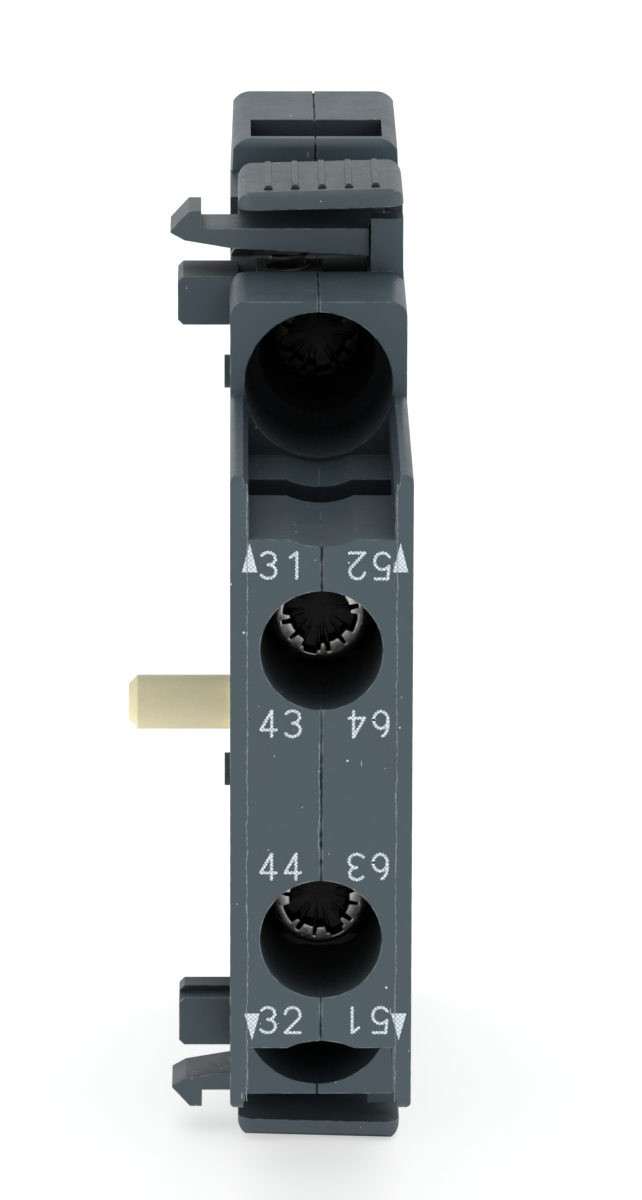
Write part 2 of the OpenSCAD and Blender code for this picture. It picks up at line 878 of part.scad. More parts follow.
// Pair of contact rivets; the shank fills the hole in the strip behind the head
module rivets(depth, shank_depth, shank_len) {
  both_ends() {
    bar(mid, contact_z, depth, tip_t, tip_d / 2);
    bar(mid, contact_z, shank_depth, shank_len, rivet_d / 2);
  }
}

module no_bridge_tips() {
  color(silver_color)
    at_pin()
      rivets(no_bridge_depth + bridge_t, no_bridge_depth, bridge_t + tip_t / 2);
}

module nc_bridge_tips() {
  color(silver_color)
    at_pin()
      rivets(nc_bridge_depth - tip_t, nc_bridge_depth - tip_t / 2, bridge_t + tip_t / 2);
}

module no_fixed_tips() {
  color(silver_color)
    at_pin()
      rivets(no_plate_depth - tip_t, no_plate_depth - tip_t / 2, plate_t + tip_t / 2);
}

module nc_fixed_tips() {
  color(silver_color)
    at_pin()
      rivets(nc_fixed_face, outer_plate_depth, plate_t + tip_t / 2);
}

// Flat strip of the opening contact, from the clamp in to its fixed tip
module outer_strip() {
  clamp_w = washer_w;
  push_depth(outer_plate_depth, plate_t)
    difference() {
      union() {
        translate([mid - clamp_w / 2, outer_z - clamp_h / 2])
          square([clamp_w, clamp_h]);
        translate([mid - strip_w / 2, inner_end])
          square([strip_w, outer_z - inner_end]);
      }
      translate([mid, outer_z])
        circle(plate_hole_r);
      translate([mid, contact_z])
        circle(d = rivet_d);
    }
}

// Bent strip of the closing contact, from the clamp back and in to its fixed tip
module inner_strip() {
  clamp_w = washer_w;
  difference() {
    union() {
      block([mid - clamp_w / 2, inner_plate_depth, inner_z - clamp_h / 2],
        [mid + clamp_w / 2, inner_plate_depth + plate_t, run_z]);
      push_width(mid - strip_w / 2, strip_w)
        polygon([
          [inner_plate_depth, run_z], [inner_plate_depth, run_z - plate_t],
          [no_plate_depth, run_z - plate_t], [no_plate_depth, inner_end],
          [no_plate_depth + plate_t, inner_end], [no_plate_depth + plate_t, run_z],
        ]);
    }
    bar(mid, inner_z, inner_plate_depth - past, plate_t + 2 * past, plate_hole_r);
    bar(mid, contact_z, no_plate_depth - past, plate_t + 2 * past, rivet_d / 2);
  }
}

module terminal_31() {
  color(brass_color)
    at_pin()
      outer_strip();
}

module terminal_32() {
  color(brass_color)
    at_pin()
      mirror([0, 0, 1])
        outer_strip();
}

module terminal_43() {
  color(brass_color)
    at_pin()
      inner_strip();
}

module terminal_44() {
  color(brass_color)
    at_pin()
      mirror([0, 0, 1])
        inner_strip();
}

// Pan-head screw with a dished head, a cross recess and a slot
module clamp_screw(z, depth) {
  recess = 1.5;
  slot_t = 0.75;
  dish_r = head_r * 0.66;
  dish = 0.5;
  color(steel_color)
    at_pin()
      difference() {
        translate([mid, depth, z])
          rotate([-90, 0, 0])
            rotate_extrude()
              polygon([
                [0, dish], [dish_r - 0.3, dish], [dish_r, 0], [head_r - 0.4, 0],
                [head_r - 0.1, 0.2], [head_r, 0.6], [head_r, screw_head_h],
                [screw_d / 2, screw_head_h], [screw_d / 2, screw_head_h + screw_len - 0.4],
                [screw_d / 2 - 0.4, screw_head_h + screw_len], [0, screw_head_h + screw_len],
              ]);
        block([mid - head_r - past, depth - past, z - slot_t / 2],
          [mid + head_r + past, depth + 0.8, z + slot_t / 2]);
        for (t = [45, 135])
          translate([mid, depth, z])
            rotate([0, t, 0])
              block([-dish_r, -past, -0.3], [dish_r, recess, 0.3]);
      }
}

// Square washer that presses the wire onto the strip
module clamp_washer(z, depth) {
  color(steel_color)
    at_pin()
      push_depth(depth, washer_t)
        difference() {
          translate([mid - washer_w / 2, z - washer_h / 2])
            square([washer_w, washer_h]);
          translate([mid, z])
            circle(washer_hole_r);
        }
}

left_shell();
right_shell();
upper_latch();
lower_latch();
upper_latch_spring();
lower_latch_spring();
actuator();
return_spring();
no_contact_spring();
nc_contact_spring();
no_bridge();
nc_bridge();
no_bridge_tips();
nc_bridge_tips();
no_fixed_tips();
nc_fixed_tips();
terminal_31();
terminal_32();
terminal_43();
terminal_44();
clamp_screw(outer_z, outer_head_depth);  // screw_31
clamp_screw(-outer_z, outer_head_depth);  // screw_32
clamp_screw(inner_z, inner_head_depth);  // screw_43
clamp_screw(-inner_z, inner_head_depth);  // screw_44
clamp_washer(outer_z, outer_washer_depth);  // washer_31
clamp_washer(-outer_z, outer_washer_depth);  // washer_32
clamp_washer(inner_z, inner_washer_depth);  // washer_43
clamp_washer(-inner_z, inner_washer_depth);  // washer_44
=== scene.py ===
"""Finishes, printed markings and studio of a side-mounted auxiliary contact block."""

import math
import random

import bpy
from bpy.props import FloatProperty, FloatVectorProperty, PointerProperty
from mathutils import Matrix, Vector


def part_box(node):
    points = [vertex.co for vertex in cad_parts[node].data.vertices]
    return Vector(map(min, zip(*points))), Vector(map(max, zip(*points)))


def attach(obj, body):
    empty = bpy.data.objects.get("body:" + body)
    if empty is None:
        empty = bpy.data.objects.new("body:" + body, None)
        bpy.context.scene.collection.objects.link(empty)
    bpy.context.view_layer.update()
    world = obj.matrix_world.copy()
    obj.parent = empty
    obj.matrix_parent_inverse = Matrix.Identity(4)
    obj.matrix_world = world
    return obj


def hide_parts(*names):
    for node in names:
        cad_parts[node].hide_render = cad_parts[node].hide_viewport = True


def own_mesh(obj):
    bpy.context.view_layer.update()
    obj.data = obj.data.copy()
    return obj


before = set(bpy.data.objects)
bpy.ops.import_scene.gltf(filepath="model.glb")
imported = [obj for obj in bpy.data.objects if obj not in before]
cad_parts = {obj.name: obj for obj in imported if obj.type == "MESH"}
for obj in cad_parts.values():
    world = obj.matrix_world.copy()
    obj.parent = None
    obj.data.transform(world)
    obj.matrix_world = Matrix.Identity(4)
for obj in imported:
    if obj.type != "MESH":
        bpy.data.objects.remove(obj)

bl_info = {
    "name": "Auxiliary contact block",
    "version": (1, 0, 0),
    "blender": (4, 5, 0),
    "location": "View3D > Sidebar > Contact block",
    "description": "Finishes, printed markings and studio of an auxiliary contact block",
    "category": "Object",
}

MM = 0.001
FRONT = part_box("left_shell")[0].y
FLOOR = min(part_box(name)[0].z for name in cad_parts)


def length(name, description, default, low=0.0, high=1.0):
    """Property that holds a length in metres."""
    return FloatProperty(
        name=name, description=description, default=default, min=low, max=high,
        subtype="DISTANCE", unit="LENGTH", precision=6,
    )


def share(name, description, default, high=1.0):
    """Property that holds a share or a plain factor."""
    return FloatProperty(name=name, description=description, default=default, min=0.0, max=high)


def paint(name, description, default):
    """Property that holds a linear colour."""
    return FloatVectorProperty(
        name=name, description=description, default=default, min=0.0, max=1.0, size=3, subtype="COLOR"
    )


class HousingFinish(bpy.types.PropertyGroup):
    """Moulded grey plastic of the housing and the latches."""

    shell_color: paint("Shell colour", "Colour of the two shells", (0.044, 0.068, 0.082))
    latch_color: paint("Latch colour", "Colour of the two latches", (0.048, 0.070, 0.080))
    # Edge colour: painted highlight along the edges, together with edge wear.
    edge_highlight_and_wear_color: paint("Edge colour", "Colour of rubbed edges", (0.40, 0.46, 0.48))
    # Flash colour: painted highlight on the flash ridges, which are coloured far lighter than the housing
    # plastic.
    flash_highlight_color: paint("Flash colour", "Colour of the thin flash lines", (0.44, 0.50, 0.52))
    dust_color: paint("Dust colour", "Colour of dust and fluff", (0.50, 0.52, 0.50))
    roughness: share("Roughness", "Mean roughness of the moulded faces", 0.46)
    grain_size: length("Grain size", "Size of the moulded grain", 0.00016)
    grain_depth: length("Grain depth", "Depth of the moulded grain", 0.000004)
    edge_radius: length("Edge radius", "Rounding of the moulded edges", 0.00013)
    shade_reach: length("Shade reach", "Distance over which hollows darken", 0.009)


class PinFinish(bpy.types.PropertyGroup):
    """Ivory plastic of the actuator."""

    color: paint("Colour", "Colour of the actuator", (0.72, 0.65, 0.42))
    roughness: share("Roughness", "Mean roughness of the actuator", 0.40)


class MetalFinish(bpy.types.PropertyGroup):
    """Metals of the terminals, contacts and springs."""

    plated: paint("Plating", "Colour of the bright inner screws", (0.95, 0.94, 0.90))
    # Dark nickel: painted shade that makes the outer screws, deep in their bores, nearly vanish; the
    # washers take the same dark colour.
    dark_nickel: paint("Tarnished nickel", "Colour of the outer screws and washers", (0.030, 0.026, 0.022))
    # Recess colour: painted shade, a near-black colour on the faces at the foot of the star recess.
    recess: paint("Recess", "Colour of the screws' star recess", (0.022, 0.022, 0.020))
    brass: paint("Brass", "Colour of the terminal strips and bridges", (0.72, 0.52, 0.25))
    silver: paint("Silver", "Colour of the contact rivets", (0.86, 0.86, 0.84))
    # Spring colour: painted shade, a near-black grey that keeps the springs dark in the gaps where they
    # show.
    wire: paint("Spring wire", "Colour of the springs", (0.10, 0.10, 0.105))
    roughness: share("Roughness", "Mean roughness of the plated metal", 0.30)


class MarkingSizes(bpy.types.PropertyGroup):
    """Printed terminal numbers and triangles."""

    ink: paint("Ink", "Colour of the markings", (0.66, 0.74, 0.80))
    digit_height: length("Digit height", "Height of a digit between stroke centres", 0.00146)
    digit_width: length("Digit width", "Width of a digit between stroke centres", 0.00086)
    digit_pitch: length("Digit pitch", "Distance between two digits", 0.00134)
    stroke: length("Stroke", "Width of a stroke", 0.00015)
    film: length("Film", "Thickness of the marking", 0.000006)
    ripple: length("Ripple", "Depth of the saw-toothed edge", 0.000034)
    ripple_pitch: length("Ripple pitch", "Length of one tooth", 0.00017)


class StudioSizes(bpy.types.PropertyGroup):
    """Floor, lamps and camera."""

    floor_span: length("Floor span", "Side of the floor", 3.0, high=10.0)
    lens: FloatProperty(name="Lens", description="Focal length", default=256.2, min=20, max=800)
    ambient: share("Ambient", "Strength of the light from all round", 0.55, 4.0)
    front_ambient: share("Front ambient", "Strength of the light from the front", 0.20, 4.0)
    floor_glow: share("Floor glow", "Light that the white floor sends up", 1.0, 4.0)
    top_light: share("Top light", "Strength of the soft light above", 1.7, 50.0)
    side_light: share("Side light", "Strength of the soft lights beside the camera", 1.3, 50.0)


class Wiring:
    """Adds nodes to one tree and joins them."""

    def __init__(self, tree):
        self.tree = tree

    def node(self, kind, inputs=None, **settings):
        made = self.tree.nodes.new(kind)
        for key, value in settings.items():
            setattr(made, key, value)
        for key, value in (inputs or {}).items():
            if isinstance(value, bpy.types.NodeSocket):
                self.tree.links.new(value, made.inputs[key])
            else:
                made.inputs[key].default_value = value
        return made

    def math(self, operation, first, second=0.0, clamp=False):
        made = self.node("ShaderNodeMath", {0: first, 1: second}, operation=operation, use_clamp=clamp)
        return made.outputs[0]

    def mix(self, factor, first, second):
        return self.node("ShaderNodeMix", {0: factor, 6: first, 7: second}, data_type="RGBA").outputs[2]

    def scaled(self, color, factor):
        """Colour, as a value or a socket, made darker or lighter by a factor."""
        first = color if isinstance(color, bpy.types.NodeSocket) else tuple(color)
        return self.node("ShaderNodeVectorMath", {0: first, 3: factor}, operation="SCALE").outputs[0]

    def ramp(self, value, low, high):
        """Value stretched so that low gives 0 and high gives 1."""
        made = self.node("ShaderNodeMapRange", {0: value, 1: low, 2: high})
        return made.outputs[0]

    def bump(self, strength, depth, height, normal):
        """Normal of a relief of this depth in metres, on top of another normal."""
        given = {"Strength": strength, "Distance": depth, "Height": height, "Normal": normal}
        return self.node("ShaderNodeBump", given).outputs[0]

    def place(self):
        """Coordinates of the surface in metres."""
        return self.node("ShaderNodeTexCoord").outputs["Object"]

    def noise(self, place, scale, detail=2.0):
        made = self.node("ShaderNodeTexNoise", {"Vector": place, "Scale": scale, "Detail": detail})
        return made.outputs[0]

    def stretched(self, place, scale, turn=(0.0, 0.0, 0.0)):
        made = self.node("ShaderNodeMapping", {"Vector": place, "Scale": scale, "Rotation": turn})
        return made.outputs[0]


def new_group(name, inputs, outputs):
    """Empty shader group with plain number inputs and the outputs that are asked for."""
    group = bpy.data.node_groups.new(name, "ShaderNodeTree")
    for label, value in inputs:
        socket = group.interface.new_socket(name=label, in_out="INPUT", socket_type="NodeSocketFloat")
        socket.default_value = value
    for label, kind in outputs:
        group.interface.new_socket(name=label, in_out="OUTPUT", socket_type=kind)
    wires = Wiring(group)
    return wires, wires.node("NodeGroupInput").outputs, wires.node("NodeGroupOutput").inputs


def moulded_grain():
    """Fine spark-eroded grain and the slow cloudiness of a moulded face."""
    wires, given, out = new_group(
        "moulded_grain",
        [("Grain Size", 0.00016), ("Cloudiness", 0.1)],
        [("Tone", "NodeSocketFloat"), ("Gloss", "NodeSocketFloat"), ("Height", "NodeSocketFloat")],
    )
    place = wires.place()
    grain = wires.noise(place, wires.math("DIVIDE", 1.0, given["Grain Size"]), 3.0)
    patches = wires.noise(place, 420.0, 4.0)
    mottle = wires.noise(place, 2600.0, 3.0)
    cloud = wires.math("ADD", wires.math("SUBTRACT", patches, 0.5), wires.math("SUBTRACT", mottle, 0.5))
    tone = wires.math("MULTIPLY_ADD", cloud, given["Cloudiness"])
    tone.node.inputs[2].default_value = 1.0
    speckle = wires.math("MULTIPLY", wires.math("SUBTRACT", grain, 0.5), 0.10)
    wires.tree.links.new(wires.math("ADD", tone, speckle), out["Tone"])
    wires.tree.links.new(wires.math("MULTIPLY", cloud, 0.22), out["Gloss"])
    wires.tree.links.new(grain, out["Height"])
    return wires.tree


def edge_highlight_and_wear():
    """Rounded normal, and a mask along the edges that the plastics use to lighten them: painted highlight
    with edge wear.
    """
    wires, given, out = new_group(
        "edge_highlight_and_wear",
        [("Radius", 0.0001), ("Wear", 1.0)],
        [("Mask", "NodeSocketFloat"), ("Normal", "NodeSocketVector")],
    )
    rounded = wires.node("ShaderNodeBevel", {"Radius": given["Radius"]}, samples=6).outputs[0]
    flat = wires.node("ShaderNodeNewGeometry").outputs["True Normal"]
    facing = wires.node("ShaderNodeVectorMath", {0: rounded, 1: flat}, operation="DOT_PRODUCT")
    turned = wires.math("SUBTRACT", 1.0, facing.outputs["Value"])
    uneven = wires.ramp(wires.noise(wires.place(), 1500.0, 3.0), 0.42, 0.68)
    # Wear sets how strongly the edges are lightened: painted highlight with edge wear.
    mask = wires.math("MULTIPLY", wires.math("MULTIPLY", turned, given["Wear"]), uneven, clamp=True)
    wires.tree.links.new(mask, out["Mask"])
    wires.tree.links.new(rounded, out["Normal"])
    return wires.tree


def settled_dust():
    """Sparse bright specks of two sizes, and a few short scratches."""
    wires, given, out = new_group(
        "settled_dust", [("Amount", 0.5), ("Speck", 0.05)], [("Mask", "NodeSocketFloat")]
    )
    place = wires.place()
    # Cells per metre along each axis, turn, share of cells with a mark, size and strength
    marks = (
        ((1400.0, 1400.0, 1400.0), (0.0, 0.0, 0.0), 0.13, 1.9, 1.0),
        ((3100.0, 3100.0, 3100.0), (0.4, 0.2, 0.0), 0.05, 2.4, 0.8),
        ((1900.0, 1900.0, 260.0), (0.0, 0.35, 0.2), 0.16, 1.3, 0.6),
        ((2200.0, 2200.0, 330.0), (0.3, -0.9, 0.0), 0.12, 1.3, 0.55),
    )
    mask = 0.0
    for scale, turn, chance, size, strength in marks:
        spread = wires.stretched(place, scale, turn)
        cells = wires.node("ShaderNodeTexVoronoi", {"Vector": spread, "Scale": 1.0})
        limit = wires.math("MULTIPLY", given["Amount"], chance)
        draw = wires.node("ShaderNodeSeparateColor", {0: cells.outputs["Color"]}).outputs[0]
        chosen = wires.math("LESS_THAN", draw, limit)
        reach = wires.math("MULTIPLY", given["Speck"], size)
        near = wires.math("LESS_THAN", cells.outputs["Distance"], reach)
        mark = wires.math("MULTIPLY", wires.math("MULTIPLY", chosen, near), strength)
        mask = wires.math("MAXIMUM", mask, mark)
    wires.tree.links.new(mask, out["Mask"])
    return wires.tree


def deep_shade():
    """Painted shade: darkening of holes, slots and hollows, where little light gets in."""
    wires, given, out = new_group(
        "deep_shade", [("Reach", 0.009), ("Open", 0.68), ("Floor", 0.04)], [("Light", "NodeSocketFloat")]
    )
    hidden = wires.node("ShaderNodeAmbientOcclusion", {"Distance": given["Reach"]}, samples=6).outputs["AO"]
    curve = wires.math("POWER", wires.ramp(hidden, 0.05, given["Open"]), 1.4)
    wires.tree.links.new(wires.math("MAXIMUM", curve, given["Floor"]), out["Light"])
    return wires.tree


def plated_wear():
    """Fine drawn lines and stains of a plated or rolled metal."""
    wires, given, out = new_group(
        "plated_wear",
        [("Line Size", 0.00008), ("Stain", 0.3)],
        [("Tone", "NodeSocketFloat"), ("Gloss", "NodeSocketFloat"), ("Height", "NodeSocketFloat")],
    )
    place = wires.place()
    lines = wires.noise(place, wires.math("DIVIDE", 1.0, given["Line Size"]), 4.0)
    stains = wires.ramp(wires.noise(place, 900.0, 3.0), 0.35, 0.7)
    tone = wires.math("SUBTRACT", 1.0, wires.math("MULTIPLY", stains, given["Stain"]))
    wires.tree.links.new(tone, out["Tone"])
    wires.tree.links.new(wires.math("MULTIPLY", wires.math("SUBTRACT", lines, 0.4), 0.5), out["Gloss"])
    wires.tree.links.new(lines, out["Height"])
    return wires.tree


def new_material(name, roughness, metallic=0.0):
    """Material with one Principled shader."""
    material = bpy.data.materials.new(name)
    material.use_nodes = True
    material.node_tree.nodes.clear()
    wires = Wiring(material.node_tree)
    surface = wires.node("ShaderNodeBsdfPrincipled", {"Roughness": roughness, "Metallic": metallic})
    wires.node("ShaderNodeOutputMaterial", {"Surface": surface.outputs[0]})
    return material, wires, surface.inputs


def place_group(wires, name, values):
    """Places a shared effect with its own values."""
    group = bpy.data.node_groups[name]
    made = wires.node("ShaderNodeGroup", node_tree=group)
    for key, value in values.items():
        made.inputs[key].default_value = value
    return made.outputs


def moulded_plastic(name, color, finish, cloudiness=0.16, dust=0.5, wear=3.0, reach=None):
    """Grey moulded plastic with grain, dust, edges lightened as painted highlight with edge wear, and
    painted shade in hollows.
    """
    material, wires, surface = new_material(name, finish.roughness)
    grain = place_group(wires, "moulded_grain", {"Grain Size": finish.grain_size, "Cloudiness": cloudiness})
    edges = place_group(wires, "edge_highlight_and_wear", {"Radius": finish.edge_radius, "Wear": wear})
    specks = place_group(wires, "settled_dust", {"Amount": dust, "Speck": 0.05})
    shade = place_group(wires, "deep_shade", {"Reach": reach or finish.shade_reach})
    # Edges lightened towards the edge colour: painted highlight with edge wear.
    highlit_and_worn = wires.mix(edges["Mask"], wires.scaled(color, grain["Tone"]), (*finish.edge_highlight_and_wear_color, 1.0))
    dusty = wires.mix(specks["Mask"], highlit_and_worn, (*finish.dust_color, 1.0))
    shaded = wires.scaled(dusty, shade["Light"])
    bump = wires.bump(0.6, finish.grain_depth, grain["Height"], edges["Normal"])
    links = wires.tree.links
    links.new(shaded, surface["Base Color"])
    dull = wires.math("MULTIPLY", wires.math("SUBTRACT", 1.0, shade["Light"]), 0.5)
    rough = wires.math("ADD", grain["Gloss"], finish.roughness)
    links.new(wires.math("ADD", rough, dull, clamp=True), surface["Roughness"])
    links.new(bump, surface["Normal"])
    surface["Specular IOR Level"].default_value = 0.36
    return material


def ivory_plastic(name, finish, housing):
    """Ivory plastic, a little translucent, with faint handling marks and edges lightened as painted
    highlight with edge wear.
    """
    material, wires, surface = new_material(name, finish.roughness)
    grain = place_group(wires, "moulded_grain", {"Grain Size": housing.grain_size, "Cloudiness": 0.10})
    edges = place_group(wires, "edge_highlight_and_wear", {"Radius": 0.00012, "Wear": 0.4})
    # Paler ivory along the edges: painted highlight with edge wear.
    highlit_and_worn_ivory = (0.78, 0.72, 0.56, 1.0)
    light = wires.mix(edges["Mask"], wires.scaled(finish.color, grain["Tone"]), highlit_and_worn_ivory)
    bump = wires.bump(0.4, 3e-6, grain["Height"], edges["Normal"])
    wires.tree.links.new(light, surface["Base Color"])
    wires.tree.links.new(wires.math("ADD", grain["Gloss"], finish.roughness), surface["Roughness"])
    wires.tree.links.new(bump, surface["Normal"])
    surface["Subsurface Weight"].default_value = 0.25
    surface["Subsurface Scale"].default_value = 0.0008
    surface["Subsurface Radius"].default_value = (1.0, 0.8, 0.5)
    return material


def worked_metal(name, color, roughness, line_size, stain, edge_radius, metallic=1.0, reach=0.0022):
    """Metal with fine lines, stains, rounded edges and painted shade in hollows."""
    material, wires, surface = new_material(name, roughness, metallic)
    wear = place_group(wires, "plated_wear", {"Line Size": line_size, "Stain": stain})
    edges = place_group(wires, "edge_highlight_and_wear", {"Radius": edge_radius, "Wear": 0.5})
    shade = place_group(wires, "deep_shade", {"Reach": reach, "Open": 0.6, "Floor": 0.01})
    shaded = wires.scaled(wires.scaled(color, wear["Tone"]), shade["Light"])
    bump = wires.bump(0.5, 4e-6, wear["Height"], edges["Normal"])
    wires.tree.links.new(shaded, surface["Base Color"])
    wires.tree.links.new(wires.math("ADD", wear["Gloss"], roughness), surface["Roughness"])
    wires.tree.links.new(bump, surface["Normal"])
    return material


def marking_ink(name, color):
    """Pale laser marking with a fine crossed hatch."""
    material, wires, surface = new_material(name, 0.65)
    place = wires.place()
    hatch = []
    for turn in (math.radians(45), math.radians(-45)):
        tilted = wires.stretched(place, (1.0, 1.0, 1.0), (0.0, turn, 0.0))
        wave = wires.node("ShaderNodeTexWave", {"Vector": tilted, "Scale": 1750.0}, bands_direction="X")
        hatch.append(wave.outputs["Fac"])
    crossed = wires.math("MINIMUM", hatch[0], hatch[1])
    uneven = wires.noise(place, 6000.0, 2.0)
    depth = wires.ramp(wires.math("ADD", crossed, wires.math("MULTIPLY", uneven, 0.5)), 0.1, 0.7)
    dark = tuple(0.36 * c for c in color)
    wires.tree.links.new(wires.mix(depth, (*dark, 1.0), (*color, 1.0)), surface["Base Color"])
    return material


def give(nodes, material):
    """Gives CAD nodes a material in all their slots."""
    for name in nodes:
        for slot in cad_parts[name].material_slots:
            slot.material = material


def nodes_like(*starts):
    """Names of the CAD nodes that start with one of these words."""
    return [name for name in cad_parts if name.startswith(starts)]


def arc(center, radii, start, end):
    """Points along an elliptical arc, in digit heights, every ten degrees."""
    steps = max(2, round(abs(end - start) / 10))
    turns = [math.radians(start + (end - start) * i / steps) for i in range(steps + 1)]
    return [(center[0] + radii[0] * math.cos(t), center[1] + radii[1] * math.sin(t)) for t in turns]


def digit_strokes(digit):
    """Strokes of one digit; x runs from 0 to 1 over its width, y from 0 to 1 over its height."""
    return {
        "1": [[(0.30, 0.80), (0.72, 1.0), (0.72, 0.0)]],
        "2": [arc((0.5, 0.70), (0.48, 0.30), 170, -20) + [(0.02, 0.0), (1.0, 0.0)]],
        "3": [
            arc((0.46, 0.76), (0.46, 0.24), 150, -90),
            arc((0.46, 0.26), (0.50, 0.26), 90, -150),
        ],
        "4": [[(0.70, 0.0), (0.70, 1.0), (0.0, 0.26), (1.0, 0.26)]],
        "5": [
            [(0.92, 1.0), (0.12, 1.0), (0.06, 0.54)],
            arc((0.46, 0.32), (0.50, 0.32), 145, -150),
        ],
        "6": [
            arc((0.52, 0.33), (0.46, 0.33), 0, 360),
            arc((0.60, 0.50), (0.54, 0.50), 110, 200),
        ],
    }[digit]


def split_at_corners(points):
    """Cuts a broken line where it turns sharply, so that each part gets its own round ends."""
    parts = [[points[0]]]
    for before, point, after in zip(points, points[1:], points[2:]):
        parts[-1].append(point)
        if (point - before).angle(after - point, 0.0) > math.radians(40):
            parts.append([point])
    parts[-1].append(points[-1])
    return parts


def spaced(points, step):
    """Points at even distances along a broken line, in metres, with the direction at each."""
    found = []
    for a, b in zip(points, points[1:]):
        run = b - a
        count = max(1, round(run.length / step))
        found += [(a + run * i / count, run.normalized()) for i in range(count)]
    return found + [(points[-1], (points[-1] - points[-2]).normalized())]


def ribbon(points, sizes):
    """Outline of a stroke with round ends and saw-toothed edges."""
    half = sizes.stroke / 2
    step = sizes.ripple_pitch / 4
    track = spaced(points, step)
    left, right = [], []
    for i, (point, along) in enumerate(track):
        tooth = abs((i % 4) - 2) - 1
        side = Vector((-along.y, along.x))
        left.append(point + side * (half + sizes.ripple * tooth))
        right.append(point - side * (half - sizes.ripple * tooth))
    return track, left, right


def ribbon_mesh(points, film, sizes, verts, faces):
    """Adds one stroke as a thin closed film; coordinates are across and up, on the front face."""
    track, left, right = ribbon(points, sizes)
    half = sizes.stroke / 2
    rows = []
    for sign, (point, along) in ((-1, track[0]), (1, track[-1])):
        side = Vector((-along.y, along.x))
        cap = [
            (point + sign * along * half * math.sin(t) + side * half * math.cos(t),
             point + sign * along * half * math.sin(t) - side * half * math.cos(t))
            for t in (math.radians(a) for a in (75, 50, 25))
        ]
        rows.append(cap if sign < 0 else cap[::-1])
    pairs = rows[0] + list(zip(left, right)) + rows[1]
    base = len(verts)
    for a, b in pairs:
        for point in (a, b):
            verts.append((point.x, FRONT - film, point.y))
            verts.append((point.x, FRONT, point.y))
    for i in range(len(pairs) - 1):
        a = base + 4 * i
        b = a + 4
        faces += [(a, a + 2, b + 2, b), (a + 1, b + 1, b + 3, a + 3)]
        faces += [(a, b, b + 1, a + 1), (a + 2, a + 3, b + 3, b + 2)]
    last = base + 4 * (len(pairs) - 1)
    faces += [(base, base + 1, base + 3, base + 2), (last, last + 2, last + 3, last + 1)]


def number_strokes(text, left, middle, sizes, turned):
    """Strokes of a number in metres; a turned number stands on its head."""
    high, wide, pitch = sizes.digit_height, sizes.digit_width, sizes.digit_pitch
    span = pitch * (len(text) - 1) + wide
    strokes = []
    for i, digit in enumerate(text):
        for line in digit_strokes(digit):
            points = [Vector((i * pitch + x * wide, (y - 0.5) * high)) for x, y in line]
            if turned:
                points = [Vector((span - p.x, -p.y)) for p in points]
            strokes += split_at_corners([Vector((left + p.x, middle + p.y)) for p in points])
    return strokes


def new_piece(name, verts, faces, material, body):
    """Makes a mesh piece that rides on a body."""
    mesh = bpy.data.meshes.new(name)
    mesh.from_pydata(verts, [], faces)
    mesh.validate()
    mesh.materials.append(material)
    piece = bpy.data.objects.new(name, mesh)
    bpy.context.scene.collection.objects.link(piece)
    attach(piece, body)
    return piece


def triangle_mesh(apex, base_z, half, sizes, verts, faces):
    """Adds a slim triangle as a thin closed film."""
    start = len(verts)
    corners = [apex, (apex[0] - half, base_z), (apex[0] + half, base_z)]
    for x, z in corners:
        verts += [(x, FRONT - sizes.film, z), (x, FRONT, z)]
    a, b, c = start, start + 2, start + 4
    faces += [(a, b, c), (a + 1, c + 1, b + 1)]
    for p, q in ((a, b), (b, c), (c, a)):
        faces.append((p, p + 1, q + 1, q))


class CONTACT_OT_shared_effects(bpy.types.Operator):
    """Build the shader groups that the materials share"""

    bl_idname = "contact.shared_effects"
    bl_label = "Shared effects"

    def execute(self, context):
        for build in (moulded_grain, edge_highlight_and_wear, settled_dust, deep_shade, plated_wear):
            build()
        return {"FINISHED"}


class CONTACT_OT_dress_housing(bpy.types.Operator):
    """Give the two shells their moulded plastic"""

    bl_idname = "contact.dress_housing"
    bl_label = "Dress the housing"

    def execute(self, context):
        finish = context.scene.housing_finish
        plastic = moulded_plastic("shell_plastic", finish.shell_color, finish)
        give(["left_shell", "right_shell"], plastic)
        return {"FINISHED"}


class CONTACT_OT_dress_latches(bpy.types.Operator):
    """Give the two latches their slightly smoother plastic"""

    bl_idname = "contact.dress_latches"
    bl_label = "Dress the latches"

    def execute(self, context):
        finish = context.scene.housing_finish
        plastic = moulded_plastic(
            "latch_plastic", finish.latch_color, finish, cloudiness=0.10, dust=0.7, reach=0.0012
        )
        give(["upper_latch", "lower_latch"], plastic)
        return {"FINISHED"}


class CONTACT_OT_dress_actuator(bpy.types.Operator):
    """Give the actuator its ivory plastic"""

    bl_idname = "contact.dress_actuator"
    bl_label = "Dress the actuator"

    def execute(self, context):
        scene = context.scene
        give(["actuator"], ivory_plastic("ivory_plastic", scene.pin_finish, scene.housing_finish))
        return {"FINISHED"}


